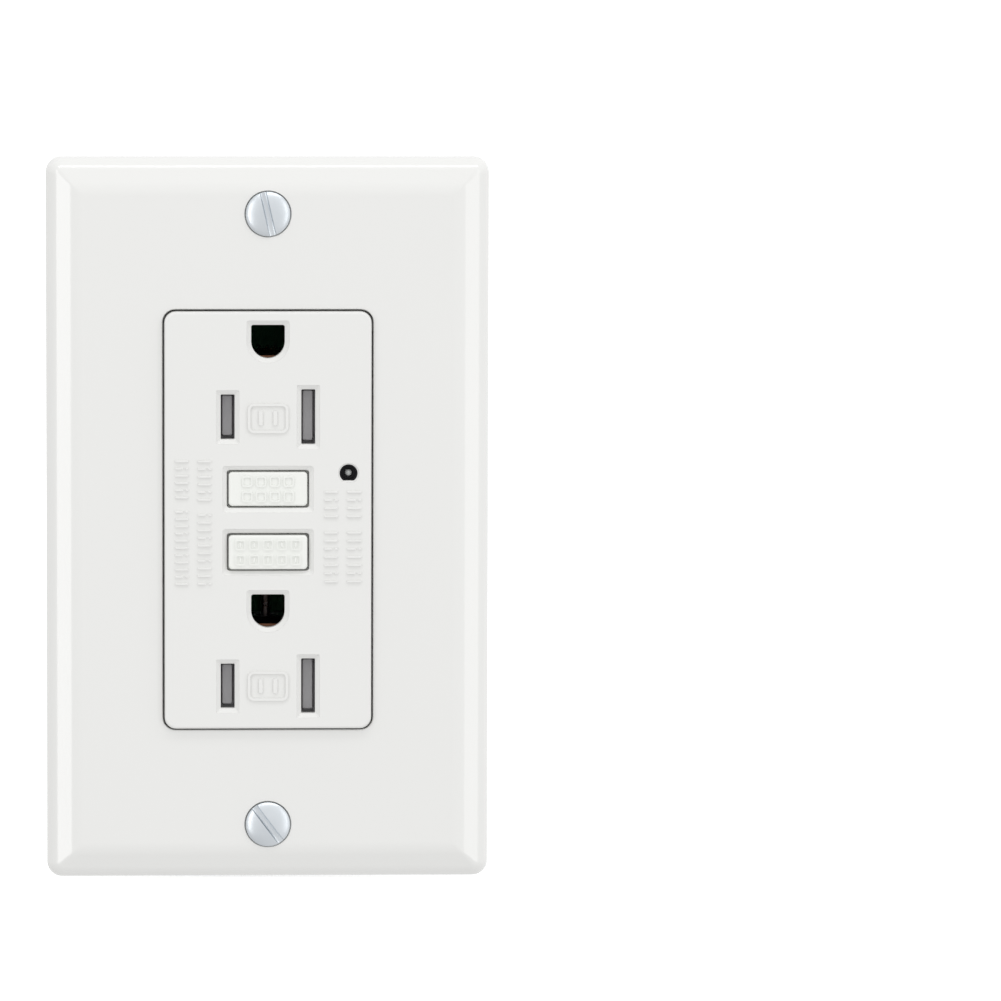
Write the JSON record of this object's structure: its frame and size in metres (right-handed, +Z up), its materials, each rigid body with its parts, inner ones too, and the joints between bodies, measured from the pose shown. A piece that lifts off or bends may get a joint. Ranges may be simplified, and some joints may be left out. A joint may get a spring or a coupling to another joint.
{
  "type": "gfci outlet",
  "caption": "Ground-fault duplex outlet with wall plate: shuttered grounding receptacles, test and reset buttons, screw terminals and a trip mechanism in a moulded body.",
  "frame": {"origin": "centre of the outlet on the wall surface, the plane of the strap's and wall plate's backs", "axes": "+X to the right seen from the front, +Y into the wall (the face looks along -Y), +Z up"},
  "size_m": [0.0698, 0.0339, 0.1142],
  "materials": {
    "plate_plastic": "smooth glossy white",
    "face_plastic": "smooth semi-gloss white",
    "button_plastic": "semi-gloss white",
    "shutter_plastic": "fine matt grey",
    "body_plastic": "fine matt off-white",
    "frame_plastic": "matt black",
    "zinc_plated_steel": "bluish zinc plate",
    "spring_steel": "bright wire",
    "brass": "rolled brass",
    "copper": "copper alloy strip",
    "brass_plated_steel": "brass-plated steel",
    "green_steel": "green-dyed zinc plate",
    "winding_wire": "enamelled copper wire",
    "fibre_card": "pressed fibre card",
    "board_laminate": "green solder mask",
    "component_blue": "blue epoxy coat",
    "clear_plastic": "clear moulded plastic",
    "led_green": "tinted epoxy"
  },
  "bodies": {
    "housing": {"wall_plate": "plate_plastic", "plate_screw_top": "zinc_plated_steel", "plate_screw_bottom": "zinc_plated_steel", "front_cover": "face_plastic", "mounting_strap": "zinc_plated_steel", "mounting_screw_top": "zinc_plated_steel", "mounting_screw_bottom": "zinc_plated_steel", "screw_retainer_top": "fibre_card", "screw_retainer_bottom": "fibre_card", "ground_contact_upper": "copper", "ground_contact_lower": "copper", "shutter_base_upper": "body_plastic", "shutter_base_lower": "body_plastic", "shutter_spring_upper": "spring_steel", "shutter_spring_lower": "spring_steel", "test_spring": "spring_steel", "reset_spring": "spring_steel", "middle_frame": "frame_plastic", "load_hot_contact": "brass", "load_neutral_contact": "brass", "line_hot_terminal": "brass", "line_neutral_terminal": "brass", "solenoid_frame": "zinc_plated_steel", "solenoid_bobbin": "frame_plastic", "solenoid_winding": "winding_wire", "plunger_spring": "spring_steel", "circuit_board": "board_laminate", "fault_sense_coil": "winding_wire", "grounded_neutral_coil": "winding_wire", "varistor": "component_blue", "filter_capacitor": "frame_plastic", "control_chip": "frame_plastic", "indicator_light_pipe": "clear_plastic", "indicator_led": "led_green", "rear_housing": "body_plastic", "housing_screw_1": "zinc_plated_steel", "housing_screw_2": "zinc_plated_steel", "housing_screw_3": "zinc_plated_steel", "housing_screw_4": "zinc_plated_steel"},
    "upper_shutter": {"shutter_upper": "shutter_plastic"},
    "lower_shutter": {"shutter_lower": "shutter_plastic"},
    "test_push": {"test_button": "button_plastic"},
    "test_leaf": {"test_contact_leaf": "copper"},
    "reset_push": {"reset_button": "button_plastic", "reset_pin": "spring_steel"},
    "latch": {"latch_block": "frame_plastic"},
    "latch_slide": {"latch_plate": "zinc_plated_steel"},
    "plunger": {"solenoid_plunger": "spring_steel"},
    "hot_arm": {"hot_contact_arm": "copper"},
    "neutral_arm": {"neutral_contact_arm": "copper"},
    "line_hot_clamp_set": {"line_hot_clamp": "zinc_plated_steel"},
    "line_hot_screw_set": {"line_hot_screw": "brass_plated_steel"},
    "line_neutral_clamp_set": {"line_neutral_clamp": "zinc_plated_steel"},
    "line_neutral_screw_set": {"line_neutral_screw": "zinc_plated_steel"},
    "load_hot_clamp_set": {"load_hot_clamp": "zinc_plated_steel"},
    "load_hot_screw_set": {"load_hot_screw": "brass_plated_steel"},
    "load_neutral_clamp_set": {"load_neutral_clamp": "zinc_plated_steel"},
    "load_neutral_screw_set": {"load_neutral_screw": "zinc_plated_steel"},
    "ground_clamp_set": {"ground_clamp": "zinc_plated_steel"},
    "ground_screw_set": {"ground_screw": "green_steel"}
  },
  "joints": [
    {"name": "test_press", "type": "slide", "parent": "housing", "child": "test_push", "axis": [0, 1, 0], "range_m": [0, 0.0012], "stiffness_N_per_m": 400, "springref_m": -0.0015, "deforming": ["test_spring"]},
    {"name": "test_leaf_flex", "type": "hinge", "parent": "housing", "child": "test_leaf", "pos_m": [0, 0.0106, 0.01], "axis": [1, 0, 0], "range_deg": [0, 14]},
    {"name": "reset_press", "type": "slide", "parent": "housing", "child": "reset_push", "axis": [0, 1, 0], "range_m": [0, 0.0018], "stiffness_N_per_m": 500, "springref_m": -0.002, "deforming": ["reset_spring"]},
    {"name": "upper_shutter_slide", "type": "slide", "parent": "housing", "child": "upper_shutter", "axis": [1, 0, 0], "range_m": [0, 0.003], "stiffness_N_per_m": 120, "springref_m": -0.001, "deforming": ["shutter_spring_upper"]},
    {"name": "lower_shutter_slide", "type": "slide", "parent": "housing", "child": "lower_shutter", "axis": [1, 0, 0], "range_m": [0, 0.003], "stiffness_N_per_m": 120, "springref_m": -0.001, "deforming": ["shutter_spring_lower"]},
    {"name": "plunger_strike", "type": "slide", "parent": "housing", "child": "plunger", "axis": [0, 0, 1], "range_m": [0, 0.002], "stiffness_N_per_m": 150, "springref_m": -0.002, "deforming": ["plunger_spring"]},
    {"name": "latch_travel", "type": "slide", "parent": "housing", "child": "latch", "axis": [0, 1, 0], "range_m": [0, 0.0018]},
    {"name": "latch_plate_slide", "type": "slide", "parent": "latch", "child": "latch_slide", "axis": [0, 0, 1], "range_m": [0, 0.0012]},
    {"name": "hot_arm_flex", "type": "hinge", "parent": "housing", "child": "hot_arm", "pos_m": [-0.01, 0.0137, 0.01], "axis": [1, 0, 0], "range_deg": [0, 6.9]},
    {"name": "neutral_arm_flex", "type": "hinge", "parent": "housing", "child": "neutral_arm", "pos_m": [0.01, 0.0137, 0.01], "axis": [1, 0, 0], "range_deg": [0, 6.9]},
    {"name": "line_hot_clamp_slide", "type": "slide", "parent": "housing", "child": "line_hot_clamp_set", "axis": [-1, 0, 0], "range_m": [0, 0.002]},
    {"name": "line_hot_screw_turn", "type": "hinge", "parent": "line_hot_clamp_set", "child": "line_hot_screw_set", "pos_m": [-0.0183, 0.0105, 0.014], "axis": [-1, 0, 0], "range_deg": [0, 907.1]},
    {"name": "line_neutral_clamp_slide", "type": "slide", "parent": "housing", "child": "line_neutral_clamp_set", "axis": [1, 0, 0], "range_m": [0, 0.002]},
    {"name": "line_neutral_screw_turn", "type": "hinge", "parent": "line_neutral_clamp_set", "child": "line_neutral_screw_set", "pos_m": [0.0183, 0.0105, 0.014], "axis": [1, 0, 0], "range_deg": [0, 907.1]},
    {"name": "load_hot_clamp_slide", "type": "slide", "parent": "housing", "child": "load_hot_clamp_set", "axis": [-1, 0, 0], "range_m": [0, 0.002]},
    {"name": "load_hot_screw_turn", "type": "hinge", "parent": "load_hot_clamp_set", "child": "load_hot_screw_set", "pos_m": [-0.0183, 0.0105, -0.014], "axis": [-1, 0, 0], "range_deg": [0, 907.1]},
    {"name": "load_neutral_clamp_slide", "type": "slide", "parent": "housing", "child": "load_neutral_clamp_set", "axis": [1, 0, 0], "range_m": [0, 0.002]},
    {"name": "load_neutral_screw_turn", "type": "hinge", "parent": "load_neutral_clamp_set", "child": "load_neutral_screw_set", "pos_m": [0.0183, 0.0105, -0.014], "axis": [1, 0, 0], "range_deg": [0, 907.1]},
    {"name": "ground_clamp_slide", "type": "slide", "parent": "housing", "child": "ground_clamp_set", "axis": [-1, 0, 0], "range_m": [0, 0.002]},
    {"name": "ground_screw_turn", "type": "hinge", "parent": "ground_clamp_set", "child": "ground_screw_set", "pos_m": [-0.0132, 0.005, -0.04], "axis": [-1, 0, 0], "range_deg": [0, 907.1]}
  ],
  "couplings": [
    {"joint": "test_leaf_flex", "follows": "test_press", "rad_per_m": 200},
    {"joint": "latch_plate_slide", "follows": "plunger_strike", "ratio": 0.6},
    {"joint": "hot_arm_flex", "follows": "latch_travel", "rad_per_m": 66.67},
    {"joint": "neutral_arm_flex", "follows": "latch_travel", "rad_per_m": 66.67},
    {"joint": "line_hot_screw_turn", "follows": "line_hot_clamp_slide", "rad_per_m": 7915.8},
    {"joint": "line_neutral_screw_turn", "follows": "line_neutral_clamp_slide", "rad_per_m": 7915.8},
    {"joint": "load_hot_screw_turn", "follows": "load_hot_clamp_slide", "rad_per_m": 7915.8},
    {"joint": "load_neutral_screw_turn", "follows": "load_neutral_clamp_slide", "rad_per_m": 7915.8},
    {"joint": "ground_screw_turn", "follows": "ground_clamp_slide", "rad_per_m": 7915.8}
  ]
}
